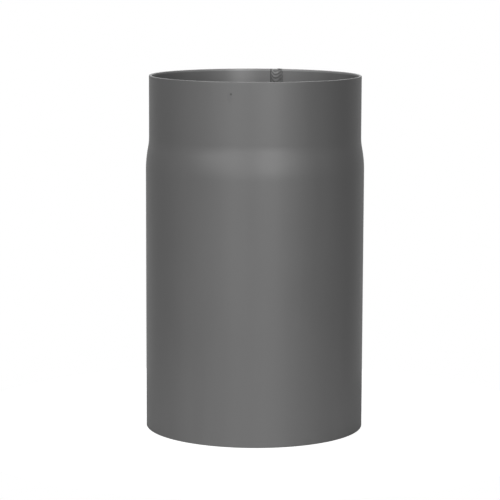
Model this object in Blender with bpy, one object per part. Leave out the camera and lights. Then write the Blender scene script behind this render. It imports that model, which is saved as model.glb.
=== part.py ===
"""Straight stove flue pipe: sheet steel rolled to a tube, butt-welded along its length, one end drawn in.

The pipe stands on its wide end along +Z, with the origin at the centre of that end. The narrow end, the
spigot, is up: it slides into the wide end of the next pipe. Lengths are in metres, angles in degrees.
"""

import math

import bmesh
import bpy

# Driving dimensions of the tube
BORE = 0.150
WALL = 0.002
LENGTH = 0.250
SPIGOT_PLAY = 0.0003
SPIGOT_LENGTH = 0.043
ROOT_RADIUS = 0.040
SHOULDER_RADIUS = 0.085
RIM_CHAMFER = 0.00025

# Driving dimensions of the welded seam, whose bead stands proud on both faces of the sheet
SEAM_ANGLE = 77.4
INSIDE_BEAD_WIDTH = 0.0095
INSIDE_BEAD_HEIGHT = 0.0007
OUTSIDE_BEAD_WIDTH = 0.0050
OUTSIDE_BEAD_HEIGHT = 0.0003

# Fineness of the mesh
COLUMNS = 96
ARC_STEPS = 5
BEAD_STEPS = 12
SMOOTH_BELOW = 25.0

# Finish
PAINT_COLOUR = (0.12, 0.12, 0.12, 1.0)
PAINT_ROUGHNESS = 0.46


def clear_scene():
    for old in list(bpy.data.objects):
        bpy.data.objects.remove(old)


def flue_paint():
    """Matt cast-grey heat-resistant paint."""
    material = bpy.data.materials.new("flue_paint")
    material.use_nodes = True
    shader = material.node_tree.nodes["Principled BSDF"]
    shader.inputs["Base Color"].default_value = PAINT_COLOUR
    shader.inputs["Roughness"].default_value = PAINT_ROUGHNESS
    shader.inputs["Metallic"].default_value = 0.0
    return material


def sheet_line():
    """The sheet's outer face from the spigot's rim down to the body's rim, as (radius, height, tilt).

    The tilt is how far the face looks upwards, in radians. The neck is two arcs that meet at one tilt: a
    hollow arc at the root of the spigot, then a round one at the shoulder of the body.
    """
    body_radius = BORE / 2 + WALL
    spigot_radius = BORE / 2 - SPIGOT_PLAY
    both_bends = ROOT_RADIUS + SHOULDER_RADIUS
    steepest = math.acos(1 - (body_radius - spigot_radius) / both_bends)
    root_height = LENGTH - SPIGOT_LENGTH
    shoulder_height = root_height - both_bends * math.sin(steepest)
    tilts = [steepest * step / ARC_STEPS for step in range(ARC_STEPS + 1)]

    line = [(spigot_radius, LENGTH, 0.0)]
    for tilt in tilts:
        radius = spigot_radius + ROOT_RADIUS * (1 - math.cos(tilt))
        line.append((radius, root_height - ROOT_RADIUS * math.sin(tilt), tilt))
    for tilt in reversed(tilts[:-1]):
        radius = body_radius - SHOULDER_RADIUS * (1 - math.cos(tilt))
        line.append((radius, shoulder_height + SHOULDER_RADIUS * math.sin(tilt), tilt))
    line.append((body_radius, 0.0, 0.0))
    return line


def sheet_face(depth, rim_cut):
    """The face that runs parallel to the outer one at a depth, top to bottom, as (radius, height).

    Both its rim edges are chamfered: the cut takes the flat of the rim towards the middle of the sheet, so
    it is negative on the outer face and positive on the inner one.
    """
    face = [(r - depth * math.cos(tilt), z - depth * math.sin(tilt)) for r, z, tilt in sheet_line()]
    top_radius, top = face[0]
    foot_radius, foot = face[-1]
    above = [(top_radius + rim_cut, top), (top_radius, top - abs(rim_cut))]
    below = [(foot_radius, foot + abs(rim_cut)), (foot_radius + rim_cut, foot)]
    return above + face[1:-1] + below


def bead_height(offset, width, height):
    """Height of a weld bead, a shallow crown, at a distance round the pipe from the middle of the seam."""
    return height * max(0.0, 1 - (2 * offset / width) ** 2)


def column_offsets():
    """Where the wall's columns of points stand, as distances round the bore from the middle of the seam.

    They are even round the pipe, with closer ones across the weld bead in place of those that it covers.
    """
    girth = math.pi * BORE
    spacing = girth / COLUMNS
    seam = girth * SEAM_ANGLE / 360
    half_bead = max(INSIDE_BEAD_WIDTH, OUTSIDE_BEAD_WIDTH) / 2
    across = [half_bead * (2 * step / BEAD_STEPS - 1) for step in range(BEAD_STEPS + 1)]
    around = [(column * spacing - seam + girth / 2) % girth - girth / 2 for column in range(COLUMNS)]
    return sorted(across + [offset for offset in around if abs(offset) > half_bead + spacing / 4])


def flue_pipe(material):
    """The whole pipe as one closed wall, with the weld bead raised out of both of its faces."""
    outside = sheet_face(0.0, -RIM_CHAMFER)
    inside = sheet_face(WALL, RIM_CHAMFER)
    builder = bmesh.new()
    columns = []
    for offset in column_offsets():
        angle = math.radians(SEAM_ANGLE) + offset / (BORE / 2)
        proud_outside = bead_height(offset, OUTSIDE_BEAD_WIDTH, OUTSIDE_BEAD_HEIGHT)
        proud_inside = bead_height(offset, INSIDE_BEAD_WIDTH, INSIDE_BEAD_HEIGHT)
        section = [(r + proud_outside, z) for r, z in outside]
        section += [(r - proud_inside, z) for r, z in reversed(inside)]
        turn = (math.cos(angle), math.sin(angle))
        columns.append([builder.verts.new((r * turn[0], r * turn[1], z)) for r, z in section])
    for column, following in zip(columns, columns[1:] + columns[:1]):
        for point in range(len(column)):
            before = point - 1
            corners = (column[before], column[point], following[point], following[before])
            builder.faces.new(corners)

    mesh = bpy.data.meshes.new("flue_pipe")
    builder.to_mesh(mesh)
    builder.free()
    mesh.materials.append(material)
    mesh.shade_smooth()
    mesh.set_sharp_from_angle(angle=math.radians(SMOOTH_BELOW))
    pipe = bpy.data.objects.new("flue_pipe", mesh)
    bpy.context.scene.collection.objects.link(pipe)
    return pipe


clear_scene()
flue_pipe(flue_paint())
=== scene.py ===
"""Straight stove flue pipe of welded sheet steel, painted matt cast grey, standing on its wide end.

Lengths are in metres. The pipe's axis is +Z, and the side towards the camera is -Y.
"""

import math

import bmesh
import bpy
from mathutils import Matrix, Vector


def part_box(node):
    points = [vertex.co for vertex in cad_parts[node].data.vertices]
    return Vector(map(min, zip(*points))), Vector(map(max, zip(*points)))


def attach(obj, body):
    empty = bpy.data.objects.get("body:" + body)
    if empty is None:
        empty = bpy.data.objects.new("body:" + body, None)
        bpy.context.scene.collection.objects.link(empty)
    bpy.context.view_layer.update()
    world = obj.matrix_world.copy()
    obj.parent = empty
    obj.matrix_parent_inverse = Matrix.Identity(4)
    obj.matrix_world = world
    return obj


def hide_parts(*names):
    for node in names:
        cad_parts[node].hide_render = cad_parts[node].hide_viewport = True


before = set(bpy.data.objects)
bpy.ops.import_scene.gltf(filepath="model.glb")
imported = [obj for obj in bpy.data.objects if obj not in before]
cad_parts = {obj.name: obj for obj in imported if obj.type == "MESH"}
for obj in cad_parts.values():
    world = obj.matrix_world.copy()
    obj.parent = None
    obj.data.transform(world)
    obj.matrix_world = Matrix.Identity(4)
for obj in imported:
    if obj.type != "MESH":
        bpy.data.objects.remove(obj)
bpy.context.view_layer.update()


# The tube is one sheet of 2 mm steel, rolled round, butt-welded along its length and drawn in at its top end
# over a die, to the spigot that the next pipe's wide end slides over. The cut rims have their burr brushed
# off, and matt heat-resistant paint is sprayed on in thin coats, heavier outside than inside.

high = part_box("flue_pipe")[1]
BODY_RADIUS = high.x
PIPE_LENGTH = high.z
SHEET = 0.002
BORE_RADIUS = BODY_RADIUS - SHEET
SPIGOT_PLAY = 0.0003
SPIGOT_RADIUS = BORE_RADIUS - SPIGOT_PLAY
SPIGOT_LENGTH = 0.043
ROOT_RADIUS = 0.040
SHOULDER_RADIUS = 0.085
RIM_ROUNDING = 0.00055
RIM_ROUNDING_INSIDE = 0.0007
STRAIGHT_BELOW_RIM = 1.8
BEND_STEPS = 20
ROW_HEIGHT = 0.006
EDGE_STEPS = 6
COLUMNS = 288
WAVINESS = 0.00006
WAVES_PER_METRE = 16.0
FACES_INWARD = -0.25


def sheet_line():
    """The sheet's outer face from the spigot's rim to the body's rim, as (radius, height, tilt upwards).

    The neck is a hollow arc at the root of the spigot, then a round one at the shoulder of the body.
    """
    both_bends = ROOT_RADIUS + SHOULDER_RADIUS
    steepest = math.acos(1 - (BODY_RADIUS - SPIGOT_RADIUS) / both_bends)
    root = PIPE_LENGTH - SPIGOT_LENGTH
    shoulder = root - both_bends * math.sin(steepest)
    tilts = [steepest * step / BEND_STEPS for step in range(BEND_STEPS + 1)]
    spigot_rows = round(SPIGOT_LENGTH / ROW_HEIGHT)
    body_rows = round(shoulder / ROW_HEIGHT)

    line = []
    for row in range(spigot_rows):
        line.append((SPIGOT_RADIUS, PIPE_LENGTH - SPIGOT_LENGTH * row / spigot_rows, 0.0))
    for tilt in tilts:
        radius = SPIGOT_RADIUS + ROOT_RADIUS * (1 - math.cos(tilt))
        line.append((radius, root - ROOT_RADIUS * math.sin(tilt), tilt))
    for tilt in reversed(tilts[:-1]):
        radius = BODY_RADIUS - SHOULDER_RADIUS * (1 - math.cos(tilt))
        line.append((radius, shoulder + SHOULDER_RADIUS * math.sin(tilt), tilt))
    for row in range(1, body_rows + 1):
        line.append((BODY_RADIUS, shoulder * (1 - row / body_rows), 0.0))
    return line


def sheet_face(depth, rounding):
    """The face at a depth in the sheet, between the rims' edges, top to bottom, as (radius, height)."""
    line = sheet_line()
    line[0] = (SPIGOT_RADIUS, PIPE_LENGTH - STRAIGHT_BELOW_RIM * rounding, 0.0)
    line[-1] = (BODY_RADIUS, STRAIGHT_BELOW_RIM * rounding, 0.0)
    return [(r - depth * math.cos(tilt), z - depth * math.sin(tilt)) for r, z, tilt in line]


def rim_edge(radius, height, start, rounding):
    """A rim's rounded edge, a quarter turn clockwise with the radius to the right and the height up."""
    side = math.copysign(rounding, math.cos(math.radians(start - 45)))
    end = math.copysign(rounding, math.sin(math.radians(start - 45)))
    edge = []
    for step in range(EDGE_STEPS + 1):
        turn = math.radians(start - 90 * step / EDGE_STEPS)
        across = radius - side + rounding * math.cos(turn)
        edge.append((across, height - end + rounding * math.sin(turn)))
    return edge


def drawn_curve(name, points, closed):
    """A straight-sided curve through (radius, height) points, drawn in the XZ plane."""
    data = bpy.data.curves.new(name, "CURVE")
    data.dimensions = "3D"
    spline = data.splines.new("POLY")
    spline.points.add(len(points) - 1)
    for point, (radius, height) in zip(spline.points, points):
        point.co = (radius, 0.0, height, 1.0)
    spline.use_cyclic_u = closed
    drawn = bpy.data.objects.new(name, data)
    bpy.context.scene.collection.objects.link(drawn)
    return drawn


def new_tree(name, sizes):
    """An empty Geometry Nodes tree with named inputs, with the sockets of its two ends."""
    tree = bpy.data.node_groups.new(name, "GeometryNodeTree")
    tree.interface.new_socket("Geometry", in_out="INPUT", socket_type="NodeSocketGeometry")
    for label, kind in sizes.items():
        tree.interface.new_socket(label, in_out="INPUT", socket_type="NodeSocket" + kind)
    tree.interface.new_socket("Geometry", in_out="OUTPUT", socket_type="NodeSocketGeometry")
    return tree, tree.nodes.new("NodeGroupInput").outputs, tree.nodes.new("NodeGroupOutput").inputs


def add_node(tree, kind, sockets, **settings):
    """A node of a tree, with its settings made and its inputs linked or set, by name or number."""
    node = tree.nodes.new(kind)
    for setting, value in settings.items():
        setattr(node, setting, value)
    for key, value in sockets.items():
        if isinstance(value, bpy.types.NodeSocket):
            tree.links.new(value, node.inputs[key])
        else:
            node.inputs[key].default_value = value
    return node.outputs


def maths(tree, operation, *values):
    """The result of a Math node's operation on these values."""
    return add_node(tree, "ShaderNodeMath", dict(enumerate(values)), operation=operation)[0]


def noise_at(tree, place, scale, detail=1.0):
    """Smooth noise from 0 to 1 at a place."""
    return add_node(tree, "ShaderNodeTexNoise", {"Vector": place, "Scale": scale, "Detail": detail})[0]


def finished_mesh(host, tree, name, values):
    """The mesh that a tree makes from a host curve with these input values, as a plain object."""
    modifier = host.modifiers.new("shape", "NODES")
    modifier.node_group = tree
    for item in tree.interface.items_tree:
        if item.in_out == "INPUT" and item.name in values:
            modifier[item.identifier] = values[item.name]
    bpy.context.view_layer.update()
    evaluated = host.evaluated_get(bpy.context.evaluated_depsgraph_get())
    made = bpy.data.objects.new(name, bpy.data.meshes.new_from_object(evaluated))
    made.data.name = name
    bpy.data.objects.remove(host)
    bpy.context.scene.collection.objects.link(made)
    return made


def outward_direction(tree):
    """The level direction away from the pipe's axis, and the place that it is worked out for."""
    place = add_node(tree, "GeometryNodeInputPosition", {})[0]
    level = add_node(tree, "ShaderNodeVectorMath", {0: place, 1: (1, 1, 0)}, operation="MULTIPLY")[0]
    return add_node(tree, "ShaderNodeVectorMath", {0: level}, operation="NORMALIZE")[0], place


def rolled_tube_tree():
    """Sweeps the wall's section round the pipe's axis, with the slight waviness that hand-fed rolls leave."""
    tree, given, out = new_tree(
        "rolled_tube",
        {
            "Radius": "Float",
            "Columns": "Int",
            "Waviness": "Float",
            "Waves per metre": "Float",
            "Outside paint": "Material",
            "Inside paint": "Material",
        },
    )
    ring = add_node(
        tree, "GeometryNodeCurvePrimitiveCircle", {"Resolution": given["Columns"], "Radius": given["Radius"]}
    )
    back = add_node(tree, "ShaderNodeCombineXYZ", {0: maths(tree, "MULTIPLY", given["Radius"], -1.0)})
    centred = add_node(
        tree, "GeometryNodeTransform", {"Geometry": given["Geometry"], "Translation": back[0]}
    )
    upright = add_node(
        tree, "GeometryNodeTransform", {"Geometry": centred[0], "Rotation": (math.radians(90), 0, 0)}
    )
    swept = add_node(tree, "GeometryNodeCurveToMesh", {"Curve": ring["Curve"], "Profile Curve": upright[0]})

    outward, place = outward_direction(tree)
    wave = maths(tree, "SUBTRACT", noise_at(tree, place, given["Waves per metre"]), 0.5)
    depth = maths(tree, "MULTIPLY", wave, given["Waviness"])
    push = add_node(tree, "ShaderNodeVectorMath", {0: outward, "Scale": depth}, operation="SCALE")
    waved = add_node(tree, "GeometryNodeSetPosition", {"Geometry": swept[0], "Offset": push[0]})
    smooth = add_node(tree, "GeometryNodeSetShadeSmooth", {"Geometry": waved[0]})

    facing = add_node(tree, "GeometryNodeInputNormal", {})
    turned = add_node(tree, "ShaderNodeVectorMath", {0: facing[0], 1: outward}, operation="DOT_PRODUCT")
    inward = maths(tree, "LESS_THAN", turned["Value"], FACES_INWARD)
    whole = add_node(tree, "GeometryNodeRealizeInstances", {"Geometry": smooth[0]})
    outer = add_node(
        tree, "GeometryNodeSetMaterial", {"Geometry": whole[0], "Material": given["Outside paint"]}
    )
    both = add_node(
        tree,
        "GeometryNodeSetMaterial",
        {"Geometry": outer[0], "Selection": inward, "Material": given["Inside paint"]},
    )
    tree.links.new(both[0], out["Geometry"])
    return tree


PAINT_GREY = 0.120
PAINT_ROUGHNESS = 0.45
GRAINS_PER_METRE = 1100.0
GRAIN_DEPTH = 0.0002
GRAIN_STRENGTH = 0.14
RUNS_PER_METRE = Vector((55.0, 55.0, 5.0))
CLOUDS_PER_METRE = 16.0
CLOUD_SHADES = 0.015
GLOSS_VARIES = 0.04
GRAIN_IN_SHADE = 0.5
CLOUDS_IN_GLOSS = 0.6
NOISE_RANGE = (0.3, 0.7)
SHADE_RANGE = (0.5, 1.0)
DRYNESS_RANGE = (0.5, 1.1)


def new_paint(name):
    """A new material, its tree, its shader and the place on the pipe that its pattern follows."""
    material = bpy.data.materials.new(name)
    material.use_nodes = True
    tree = material.node_tree
    shader = tree.nodes["Principled BSDF"].inputs
    return material, tree, shader, add_node(tree, "ShaderNodeTexCoord", {})["Object"]


def ranged(tree, value, lowest, highest, start=0.0, end=1.0):
    """A value taken smoothly from one range to another."""
    sockets = {"Value": value, "From Min": lowest, "From Max": highest, "To Min": start, "To Max": end}
    return add_node(tree, "ShaderNodeMapRange", sockets, interpolation_type="SMOOTHSTEP")[0]


def spray_coat(tree, shader, place, grey, shades, roughness):
    """Fine dry grain over faint runs and clouds of the spray. Gives back the paint's shade of grey."""
    grain = noise_at(tree, place, GRAINS_PER_METRE, 2.0)
    along = add_node(tree, "ShaderNodeVectorMath", {0: place, 1: RUNS_PER_METRE}, operation="MULTIPLY")[0]
    runs = noise_at(tree, along, 1.0, 3.0)
    cloud = noise_at(tree, place, CLOUDS_PER_METRE, 3.0)
    shade = maths(tree, "MULTIPLY_ADD", grain, GRAIN_IN_SHADE, runs)
    shade = ranged(tree, shade, *SHADE_RANGE, 1 - shades, 1 + shades)
    clouded = ranged(tree, cloud, *NOISE_RANGE, 1 - CLOUD_SHADES, 1 + CLOUD_SHADES)
    shade = maths(tree, "MULTIPLY", shade, clouded)
    dryness = maths(tree, "MULTIPLY_ADD", cloud, CLOUDS_IN_GLOSS, grain)
    gloss = ranged(tree, dryness, *DRYNESS_RANGE, -GLOSS_VARIES, GLOSS_VARIES)
    tree.links.new(maths(tree, "ADD", gloss, roughness), shader["Roughness"])
    relief = {"Strength": GRAIN_STRENGTH, "Distance": GRAIN_DEPTH, "Height": grain}
    tree.links.new(add_node(tree, "ShaderNodeBump", relief)[0], shader["Normal"])
    return maths(tree, "MULTIPLY", shade, grey)


def link_grey(tree, shader, grey):
    """Gives the shader a value as its neutral grey."""
    colour = add_node(tree, "ShaderNodeCombineColor", {0: grey, 1: grey, 2: grey})
    tree.links.new(colour[0], shader["Base Color"])


OUTSIDE_SHADES = 0.025
# Painted bounce light from the table: the outer coat's shade is raised towards the foot and lowered towards
# the top
PAINTED_LIGHT_AT_FOOT = 1.045
PAINTED_LIGHT_AT_TOP = 0.965

# Each mark's centre, the radii of its core and its edge, how much darker it is, and how its height is scaled
MARKS = {
    "nib": (Vector((-0.0163, -0.0729, 0.2418)), 0.0003, 0.0011, 0.60, 1.0),
    "smear under the nib": (Vector((-0.0172, -0.0727, 0.2395)), 0.0006, 0.0026, 0.07, 0.5),
    "smudge at the side": (Vector((-0.0683, -0.0301, 0.2273)), 0.0005, 0.0035, 0.06, 0.7),
}


def marked(tree, place, centre, core, edge, darker, flattened):
    """How much of the paint's shade is left by a mark, which a flattened height draws out along the pipe."""
    stretch = Vector((1, 1, flattened))
    flat = add_node(tree, "ShaderNodeVectorMath", {0: place, 1: stretch}, operation="MULTIPLY")[0]
    away = add_node(tree, "ShaderNodeVectorMath", {0: flat, 1: centre * stretch}, operation="DISTANCE")
    return ranged(tree, away["Value"], core, edge, 1 - darker, 1.0)


def outside_paint():
    """The outer coat, with painted bounce light from the table that makes it a little lighter towards the
    foot, with a dark paint nib and two faint rubs.
    """
    material, tree, shader, place = new_paint("flue_paint_outside")
    grey = spray_coat(tree, shader, place, PAINT_GREY, OUTSIDE_SHADES, PAINT_ROUGHNESS)
    height = add_node(tree, "ShaderNodeSeparateXYZ", {0: place})["Z"]
    # Painted bounce light: lighter towards the foot, darker towards the top
    painted_bounce_light = ranged(tree, height, 0.0, PIPE_LENGTH, PAINTED_LIGHT_AT_FOOT, PAINTED_LIGHT_AT_TOP)
    grey = maths(tree, "MULTIPLY", grey, painted_bounce_light)
    for mark in MARKS.values():
        grey = maths(tree, "MULTIPLY", grey, marked(tree, place, *mark))
    link_grey(tree, shader, grey)
    return material


INSIDE_GREY = 0.132
INSIDE_SHADES = 0.05
SEAM_ANGLE = math.radians(77.0)
# A painted highlight: a lighter streak down the far inner wall, centred this far to the side of the axis
HIGHLIGHT_STREAK_AT = -0.0105
HIGHLIGHT_STREAK_HALF = 0.015
HIGHLIGHT_STREAK_LIGHTER = 0.35
# Painted shade: a dark line along the inner weld's toe, where its steep flank meets the wall
TOE_FROM_SEAM = 0.0052
TOE_SHADE_CORE = 0.00042
TOE_SHADE_HALF = 0.0007
TOE_PAINTED_SHADE = 0.30
# A painted highlight: a lighter band along the inner edge of the spigot's rim
EDGE_HIGHLIGHT_CORE = 0.00119
EDGE_HIGHLIGHT_DEPTH = 0.0017
EDGE_HIGHLIGHT_LIGHTER = 1.70


def inside_paint():
    """The thinner inner coat, with a painted highlight as a lighter streak down the far wall and as a lighter
    band along the rim's deburred edge, and painted shade in the weld's toe.
    """
    material, tree, shader, place = new_paint("flue_paint_inside")
    grey = spray_coat(tree, shader, place, INSIDE_GREY, INSIDE_SHADES, PAINT_ROUGHNESS)
    x, y, z = add_node(tree, "ShaderNodeSeparateXYZ", {0: place})
    far_side = maths(tree, "GREATER_THAN", y, 0.0)
    from_streak = maths(tree, "ABSOLUTE", maths(tree, "SUBTRACT", x, HIGHLIGHT_STREAK_AT))
    # Painted highlight down the far inner wall
    painted_streak_highlight = ranged(tree, from_streak, 0.0, HIGHLIGHT_STREAK_HALF, HIGHLIGHT_STREAK_LIGHTER, 0.0)
    painted_streak_highlight = maths(tree, "MULTIPLY_ADD", painted_streak_highlight, far_side, 1.0)
    round_pipe = maths(tree, "SUBTRACT", maths(tree, "ARCTAN2", y, x), SEAM_ANGLE)
    from_toe = maths(tree, "ABSOLUTE", maths(tree, "MULTIPLY_ADD", round_pipe, BORE_RADIUS, -TOE_FROM_SEAM))
    # Painted shade along the weld's toe
    painted_toe_shade = ranged(tree, from_toe, TOE_SHADE_CORE, TOE_SHADE_HALF, TOE_PAINTED_SHADE, 1.0)
    below_top = maths(tree, "SUBTRACT", PIPE_LENGTH, z)
    # Painted highlight along the rim's inner edge
    edge = ranged(tree, below_top, EDGE_HIGHLIGHT_CORE, EDGE_HIGHLIGHT_DEPTH, EDGE_HIGHLIGHT_LIGHTER, 1.0)
    for share in (painted_streak_highlight, painted_toe_shade, edge):
        grey = maths(tree, "MULTIPLY", grey, share)
    link_grey(tree, shader, grey)
    return material


wall_section = (
    rim_edge(SPIGOT_RADIUS, PIPE_LENGTH, 90, RIM_ROUNDING)
    + sheet_face(0.0, RIM_ROUNDING)
    + rim_edge(BODY_RADIUS, 0.0, 0, RIM_ROUNDING)
    + rim_edge(BORE_RADIUS, 0.0, 270, RIM_ROUNDING_INSIDE)
    + sheet_face(SHEET, RIM_ROUNDING_INSIDE)[::-1]
    + rim_edge(SPIGOT_RADIUS - SHEET, PIPE_LENGTH, 180, RIM_ROUNDING_INSIDE)
)
tube = finished_mesh(
    drawn_curve("tube_section", wall_section, closed=True),
    rolled_tube_tree(),
    "tube",
    {
        "Radius": BODY_RADIUS,
        "Columns": COLUMNS,
        "Waviness": WAVINESS,
        "Waves per metre": WAVES_PER_METRE,
        "Outside paint": outside_paint(),
        "Inside paint": inside_paint(),
    },
)
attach(tube, "root")
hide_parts("flue_pipe")


# The welded seam is the steel butt weld that closes the rolled sheet. It stands proud of both faces, as a
# rippled bead inside and a lower one outside. It is laid by hand with a torch, so it wanders and swells a
# little, and it is painted over.

BEAD_STATION = 0.00035
BEAD_COLUMNS = 25
BEAD_SUNK = 0.00010
BEAD_FADES_OVER = 0.0012
SWELLS_PER_METRE = 90.0
SWELLS_BY = 0.12
UNEVEN_PER_METRE = 160.0
UNEVEN_BY = 0.5
STRAYS_PER_METRE = 45.0
CREST_ROUNDNESS = 0.7
CREST_LEVEL = 0.6
CREST_FADES = (-0.10, 0.45)
FADED_CREST = 0.25
JOINED_WITHIN = 0.000002


def weld_bead_tree():
    """Lays a closed bead along the host curve, which runs down the face of the sheet that it stands on.

    Side is 1 on the outer face and -1 on the inner one. The width runs to the right, seen by someone who
    faces the bead. Lean moves the crown to one side, and bow draws the ripples out to crescents. The mesh
    carries the ripples' crests, fading towards the right, for the paint, which paints a highlight on the
    crests and shade between them.
    """
    tree, given, out = new_tree(
        "weld_bead",
        {
            "Side": "Float",
            "Angle": "Float",
            "Width": "Float",
            "Height": "Float",
            "Lean": "Float",
            "Pitch": "Float",
            "Start": "Float",
            "Ripple": "Float",
            "Bow": "Float",
            "Wander": "Float",
            "Sunk": "Float",
            "Columns": "Int",
            "Rows": "Int",
            "Paint": "Material",
        },
    )
    total = add_node(tree, "GeometryNodeCurveLength", {"Curve": given["Geometry"]})[0]
    grid = add_node(
        tree,
        "GeometryNodeMeshGrid",
        {"Size X": 2.0, "Size Y": 1.0, "Vertices X": given["Columns"], "Vertices Y": given["Rows"]},
    )["Mesh"]
    on_grid = add_node(tree, "GeometryNodeInputPosition", {})[0]
    on_grid = add_node(tree, "ShaderNodeSeparateXYZ", {0: on_grid})
    across = on_grid["X"]
    up = on_grid["Y"]
    down = maths(tree, "MULTIPLY", maths(tree, "SUBTRACT", 0.5, up), total)
    aside = maths(tree, "MULTIPLY", across, maths(tree, "MULTIPLY", given["Width"], 0.5))
    path = add_node(
        tree, "GeometryNodeSampleCurve", {"Curves": given["Geometry"], "Length": down}, mode="LENGTH"
    )["Position"]
    on_path = add_node(tree, "ShaderNodeSeparateXYZ", {0: path})
    radius = on_path["X"]
    height = on_path["Z"]

    # The crown across the bead, fading out at both ends of the seam
    leaned = maths(tree, "SUBTRACT", 1.0, maths(tree, "MULTIPLY", across, across))
    leaned = maths(tree, "MULTIPLY_ADD", leaned, given["Lean"], across)
    crown = maths(tree, "SUBTRACT", 1.0, maths(tree, "MULTIPLY", leaned, leaned))
    crown = maths(tree, "MAXIMUM", crown, 0.0)
    to_end = maths(tree, "MINIMUM", down, maths(tree, "SUBTRACT", total, down))
    crown = maths(tree, "MULTIPLY", crown, ranged(tree, to_end, 0.0, BEAD_FADES_OVER))

    # The ripples, and the unsteadiness of the hand that laid them
    along = add_node(tree, "ShaderNodeCombineXYZ", {2: down})[0]
    swell = noise_at(tree, along, SWELLS_PER_METRE)
    swell = ranged(tree, swell, *NOISE_RANGE, 1 - SWELLS_BY, 1 + SWELLS_BY)
    uneven = maths(tree, "SUBTRACT", noise_at(tree, along, UNEVEN_PER_METRE), 0.5)
    uneven = maths(tree, "MULTIPLY", uneven, UNEVEN_BY)
    middle = maths(tree, "MULTIPLY", leaned, maths(tree, "MULTIPLY", given["Width"], 0.5))
    bowed = maths(tree, "MULTIPLY", maths(tree, "MULTIPLY", middle, middle), given["Bow"])
    phase = maths(tree, "DIVIDE", maths(tree, "ADD", down, bowed), given["Pitch"])
    phase = maths(tree, "ADD", maths(tree, "ADD", phase, uneven), given["Start"])
    crest = maths(tree, "ABSOLUTE", maths(tree, "SINE", maths(tree, "MULTIPLY", phase, math.pi)))
    # Painted highlight on the crests, fading out towards the right flank, which is left darker
    right_fade = ranged(tree, across, *CREST_FADES, 1.0, FADED_CREST)
    hump = maths(tree, "SUBTRACT", maths(tree, "POWER", crest, CREST_ROUNDNESS), CREST_LEVEL)
    hump = maths(tree, "MULTIPLY", hump, given["Ripple"])
    hump = maths(tree, "MULTIPLY_ADD", given["Height"], swell, hump)
    proud = maths(tree, "SUBTRACT", maths(tree, "MULTIPLY", hump, crown), given["Sunk"])

    # The bead's face and its hidden back, both bent round the pipe and joined along their edges
    strayed = maths(tree, "SUBTRACT", noise_at(tree, along, STRAYS_PER_METRE), 0.5)
    aside = maths(tree, "MULTIPLY_ADD", strayed, given["Wander"], aside)
    turn = maths(tree, "DIVIDE", maths(tree, "MULTIPLY", aside, given["Side"]), radius)
    turn = maths(tree, "ADD", turn, given["Angle"])
    # The crests that the paint lightens as a painted highlight, with painted shade between them
    crest_light = maths(tree, "MULTIPLY", crest, right_fade)
    crests = {"Geometry": grid, "Name": "crest", "Value": crest_light}
    grid = add_node(tree, "GeometryNodeStoreNamedAttribute", crests)[0]
    shells = []
    for depth in (proud, maths(tree, "MULTIPLY", given["Sunk"], -1.0)):
        out_to = maths(tree, "MULTIPLY_ADD", depth, given["Side"], radius)
        spot_x = maths(tree, "MULTIPLY", out_to, maths(tree, "COSINE", turn))
        spot_y = maths(tree, "MULTIPLY", out_to, maths(tree, "SINE", turn))
        bent = add_node(tree, "ShaderNodeCombineXYZ", {0: spot_x, 1: spot_y, 2: height})
        placed = add_node(tree, "GeometryNodeSetPosition", {"Geometry": grid, "Position": bent[0]})
        shells.append(placed[0])
    face, hidden = shells
    hidden = add_node(tree, "GeometryNodeFlipFaces", {"Mesh": hidden})[0]
    joined = add_node(tree, "GeometryNodeJoinGeometry", {"Geometry": face})
    tree.links.new(hidden, joined[0].node.inputs["Geometry"])
    merged = {"Geometry": joined[0], "Distance": JOINED_WITHIN}
    closed = add_node(tree, "GeometryNodeMergeByDistance", merged)
    smooth = add_node(tree, "GeometryNodeSetShadeSmooth", {"Geometry": closed[0]})
    whole = add_node(tree, "GeometryNodeRealizeInstances", {"Geometry": smooth[0]})
    painted = add_node(
        tree, "GeometryNodeSetMaterial", {"Geometry": whole[0], "Material": given["Paint"]}
    )
    tree.links.new(painted[0], out["Geometry"])
    return tree


WELD_SHADES = 0.06
WELD_ROUGHNESS = 0.50
SCALES_PER_METRE = 420.0
SCALE_RANGE = (0.35, 0.65)
SCALE_SHADES = (0.88, 1.06)
CREST_RANGE = (0.3, 0.95)
# Painted highlight on the crests nearest the rim, full down to the first depth below it and gone by the
# second
TOP_HIGHLIGHT_FROM = 0.0020
TOP_HIGHLIGHT_TO = 0.0080


def weld_paint(name, grey, contrast, top_highlight):
    """The same paint over a weld, duller on the scaly steel, with a painted highlight on its ripples' crests,
    strongest near the top end, and painted shade between them.
    """
    material, tree, shader, place = new_paint(name)
    grey = spray_coat(tree, shader, place, grey, WELD_SHADES, WELD_ROUGHNESS)
    scale = noise_at(tree, place, SCALES_PER_METRE, 2.0)
    grey = maths(tree, "MULTIPLY", grey, ranged(tree, scale, *SCALE_RANGE, *SCALE_SHADES))
    crest = add_node(tree, "ShaderNodeAttribute", {}, attribute_name="crest")["Fac"]
    # Painted highlight on the ripples' crests and painted shade in the troughs between them
    crest_highlight_and_shade = ranged(tree, crest, *CREST_RANGE, 1 - contrast, 1 + contrast)
    grey = maths(tree, "MULTIPLY", grey, crest_highlight_and_shade)
    height = add_node(tree, "ShaderNodeSeparateXYZ", {0: place})["Z"]
    below_top = maths(tree, "SUBTRACT", PIPE_LENGTH, height)
    # Painted highlight, stronger on the crests near the rim
    top_crest_highlight = ranged(tree, below_top, TOP_HIGHLIGHT_FROM, TOP_HIGHLIGHT_TO, top_highlight, 0.0)
    top_crest_highlight = maths(tree, "MULTIPLY", top_crest_highlight, crest)
    link_grey(tree, shader, maths(tree, "MULTIPLY_ADD", grey, top_crest_highlight, grey))
    return material


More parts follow.
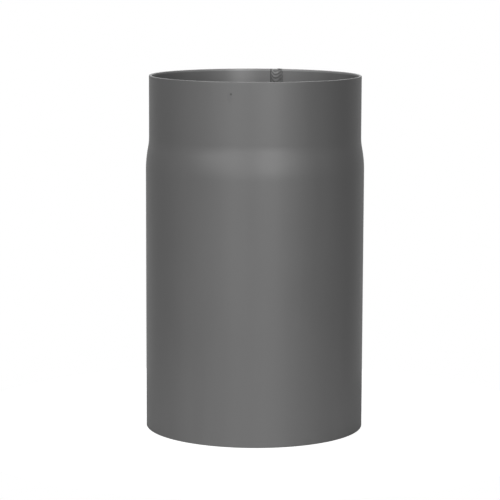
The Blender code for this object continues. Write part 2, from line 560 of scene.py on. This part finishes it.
inside_coat = weld_paint("flue_paint_on_inside_weld", grey=0.085, contrast=0.22, top_highlight=1.25)
outside_coat = weld_paint("flue_paint_on_outside_weld", grey=0.114, contrast=0.10, top_highlight=0.0)
seam_tree = weld_bead_tree()
BEADS = {
    "seam_bead_inside": {
        "Side": -1.0,
        "Width": 0.0099,
        "Height": 0.00065,
        "Lean": 0.32,
        "Pitch": 0.0027,
        "Start": 0.56,
        "Ripple": 0.00034,
        "Bow": 160.0,
        "Wander": 0.0006,
    },
    "seam_bead_outside": {
        "Side": 1.0,
        "Width": 0.0050,
        "Height": 0.00036,
        "Lean": 0.08,
        "Pitch": 0.0019,
        "Start": 0.0,
        "Ripple": 0.00006,
        "Bow": 220.0,
        "Wander": 0.0005,
    },
}
for bead_name, bead in BEADS.items():
    bead_face = sheet_face(SHEET if bead["Side"] < 0 else 0.0, RIM_ROUNDING)
    top = (bead_face[0][0], PIPE_LENGTH - RIM_ROUNDING)
    foot = (bead_face[-1][0], RIM_ROUNDING)
    bead_mesh = finished_mesh(
        drawn_curve(bead_name + "_path", [top] + bead_face + [foot], closed=False),
        seam_tree,
        bead_name,
        {
            "Angle": SEAM_ANGLE,
            "Sunk": BEAD_SUNK,
            "Columns": BEAD_COLUMNS,
            "Rows": round(PIPE_LENGTH / BEAD_STATION),
            "Paint": inside_coat if bead["Side"] < 0 else outside_coat,
            **bead,
        },
    )
    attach(bead_mesh, "root")


# The weld's end is the small lump of steel that freezes across the sheet's edge at the spigot's rim, where
# the torch is lifted. It isn't ground off, and it is painted with the rest.

END_ANGLE = math.radians(75.75)
END_SIZE = Vector((0.0031, 0.0011, 0.0006))
END_SUNK = 0.00033
LUMPS = Vector((4.1, 1.7, 0.0))
LUMPY_BY = 0.10
PITS = Vector((0.0, 6.3, -2.9))
PITTED_BY = 0.06

lump = bmesh.new()
bmesh.ops.create_icosphere(lump, subdivisions=4, radius=1.0)
turned_end = Matrix.Rotation(END_ANGLE + math.radians(90), 3, "Z")
end_centre = turned_end @ Vector((0, SHEET / 2 - SPIGOT_RADIUS, 0))
end_centre.z = PIPE_LENGTH - END_SUNK
for vertex in lump.verts:
    rough = 1 + LUMPY_BY * math.sin(LUMPS.dot(vertex.co)) + PITTED_BY * math.cos(PITS.dot(vertex.co))
    vertex.co = end_centre + turned_end @ (vertex.co * END_SIZE * rough)
weld_end = bpy.data.objects.new("weld_end", bpy.data.meshes.new("weld_end"))
lump.to_mesh(weld_end.data)
lump.free()
weld_end.data.shade_smooth()
weld_end.data.materials.append(outside_coat)
bpy.context.scene.collection.objects.link(weld_end)
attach(weld_end, "root")


# The photographer's table is a round white board that the pipe stands on. It looks white wherever the lamps
# reach it, and it keeps the pipe's soft shadow.

TABLE_RADIUS = 0.22
TABLE_ROUGHNESS = 0.8
TABLE_WHITE = 0.40
TABLE_GLOW = 0.86
TABLE_GLOW_IN_GLOSS = 0.04

board = bmesh.new()
bmesh.ops.create_circle(board, cap_ends=True, segments=128, radius=TABLE_RADIUS)
table = bpy.data.objects.new("table", bpy.data.meshes.new("table"))
board.to_mesh(table.data)
board.free()
bpy.context.scene.collection.objects.link(table)

table_white = bpy.data.materials.new("table_white")
table_white.use_nodes = True
table_tree = table_white.node_tree
table_shader = table_tree.nodes["Principled BSDF"].inputs
table_shader["Base Color"].default_value = (TABLE_WHITE, TABLE_WHITE, TABLE_WHITE, 1)
table_shader["Roughness"].default_value = TABLE_ROUGHNESS
table_shader["Emission Color"].default_value = (1, 1, 1, 1)
seen = add_node(table_tree, "ShaderNodeLightPath", {})
plain_sight = maths(table_tree, "MAXIMUM", seen["Is Camera Ray"], seen["Is Transmission Ray"])
glow = maths(table_tree, "MULTIPLY", seen["Is Glossy Ray"], TABLE_GLOW_IN_GLOSS)
glow = maths(table_tree, "MULTIPLY_ADD", plain_sight, TABLE_GLOW, glow)
table_tree.links.new(glow, table_shader["Emission Strength"])
table.data.materials.append(table_white)


# The studio is a dim room with a plain white backdrop, which the matt paint mirrors faintly along its edges.
# Soft boxes on stands light the pipe, and all of them point at one place on its axis.

ROOM_FILL = 0.06
ROOM_IN_GLOSS = 0.23
BACKDROP_IN_GLOSS = 0.66
BACKDROP_STARTS = 0.5
BACKDROP_FULL = 0.85

world = bpy.data.worlds.new("studio")
world.use_nodes = True
bpy.context.scene.world = world
studio = world.node_tree
towards = add_node(studio, "ShaderNodeTexCoord", {})["Generated"]
backwards = add_node(studio, "ShaderNodeSeparateXYZ", {0: towards})[1]
mirrored = ranged(studio, backwards, BACKDROP_STARTS, BACKDROP_FULL, ROOM_IN_GLOSS, BACKDROP_IN_GLOSS)
ray = add_node(studio, "ShaderNodeLightPath", {})
strength = maths(studio, "MULTIPLY", ray["Is Glossy Ray"], mirrored)
strength = maths(studio, "MULTIPLY_ADD", ray["Is Diffuse Ray"], ROOM_FILL, strength)
white_sight = maths(studio, "MAXIMUM", ray["Is Camera Ray"], ray["Is Transmission Ray"])
strength = maths(studio, "ADD", strength, white_sight)
sky = studio.nodes["Background"].inputs
sky["Color"].default_value = (1, 1, 1, 1)
studio.links.new(strength, sky["Strength"])

LAMP_AIM = Vector((0, 0, 0.15))
LAMP_DISTANCE = 2.2

# Each lamp's azimuth from the camera's side, its elevation, the width of its box, and its power in watts
LAMPS = {
    "key": (15, 11, 0.6, 17.8),
    "left": (-45, 20, 0.9, 9.8),
    "left_low": (-20, 10, 0.9, 12.1),
    "left_high": (-45, 46, 0.9, 9.6),
    "right": (33, 14, 0.5, 6.0),
    "top": (0, 75, 1.1, 6.0),
    "back": (180, 45, 1.1, 26.0),
}
for lamp_name, (azimuth, elevation, lamp_size, watts) in LAMPS.items():
    bearing = math.radians(azimuth)
    rise = math.radians(elevation)
    reach = LAMP_DISTANCE * math.cos(rise)
    data = bpy.data.lights.new(lamp_name, "AREA")
    data.shape = "SQUARE"
    data.size = lamp_size
    data.energy = watts
    lamp = bpy.data.objects.new(lamp_name, data)
    above = LAMP_DISTANCE * math.sin(rise)
    away = Vector((reach * math.sin(bearing), -reach * math.cos(bearing), above))
    lamp.location = LAMP_AIM + away
    lamp.rotation_euler = (-away).to_track_quat("-Z", "Y").to_euler()
    bpy.context.scene.collection.objects.link(lamp)


# The camera stands at the photograph's viewing angle, a little above the rim, with a long lens. Nothing is
# out of focus.

CAMERA_DISTANCE = 1.5700
CAMERA_HEIGHT = 0.3524
CAMERA_PITCH = math.radians(8.210)
CAMERA_TURN = math.radians(0.121)
CAMERA_ROLL = math.radians(0.205)
LENS = 160.84
SENSOR = 36.0

camera_data = bpy.data.cameras.new("camera")
camera_data.lens = LENS
camera_data.sensor_width = SENSOR
camera = bpy.data.objects.new("camera", camera_data)
camera.location = (0, -CAMERA_DISTANCE, CAMERA_HEIGHT)
aim = (
    Matrix.Rotation(CAMERA_TURN, 3, "Z")
    @ Matrix.Rotation(math.radians(90) - CAMERA_PITCH, 3, "X")
    @ Matrix.Rotation(CAMERA_ROLL, 3, "Z")
)
camera.rotation_euler = aim.to_euler()
bpy.context.scene.collection.objects.link(camera)
bpy.context.scene.camera = camera
bpy.context.scene.view_settings.view_transform = "Standard"
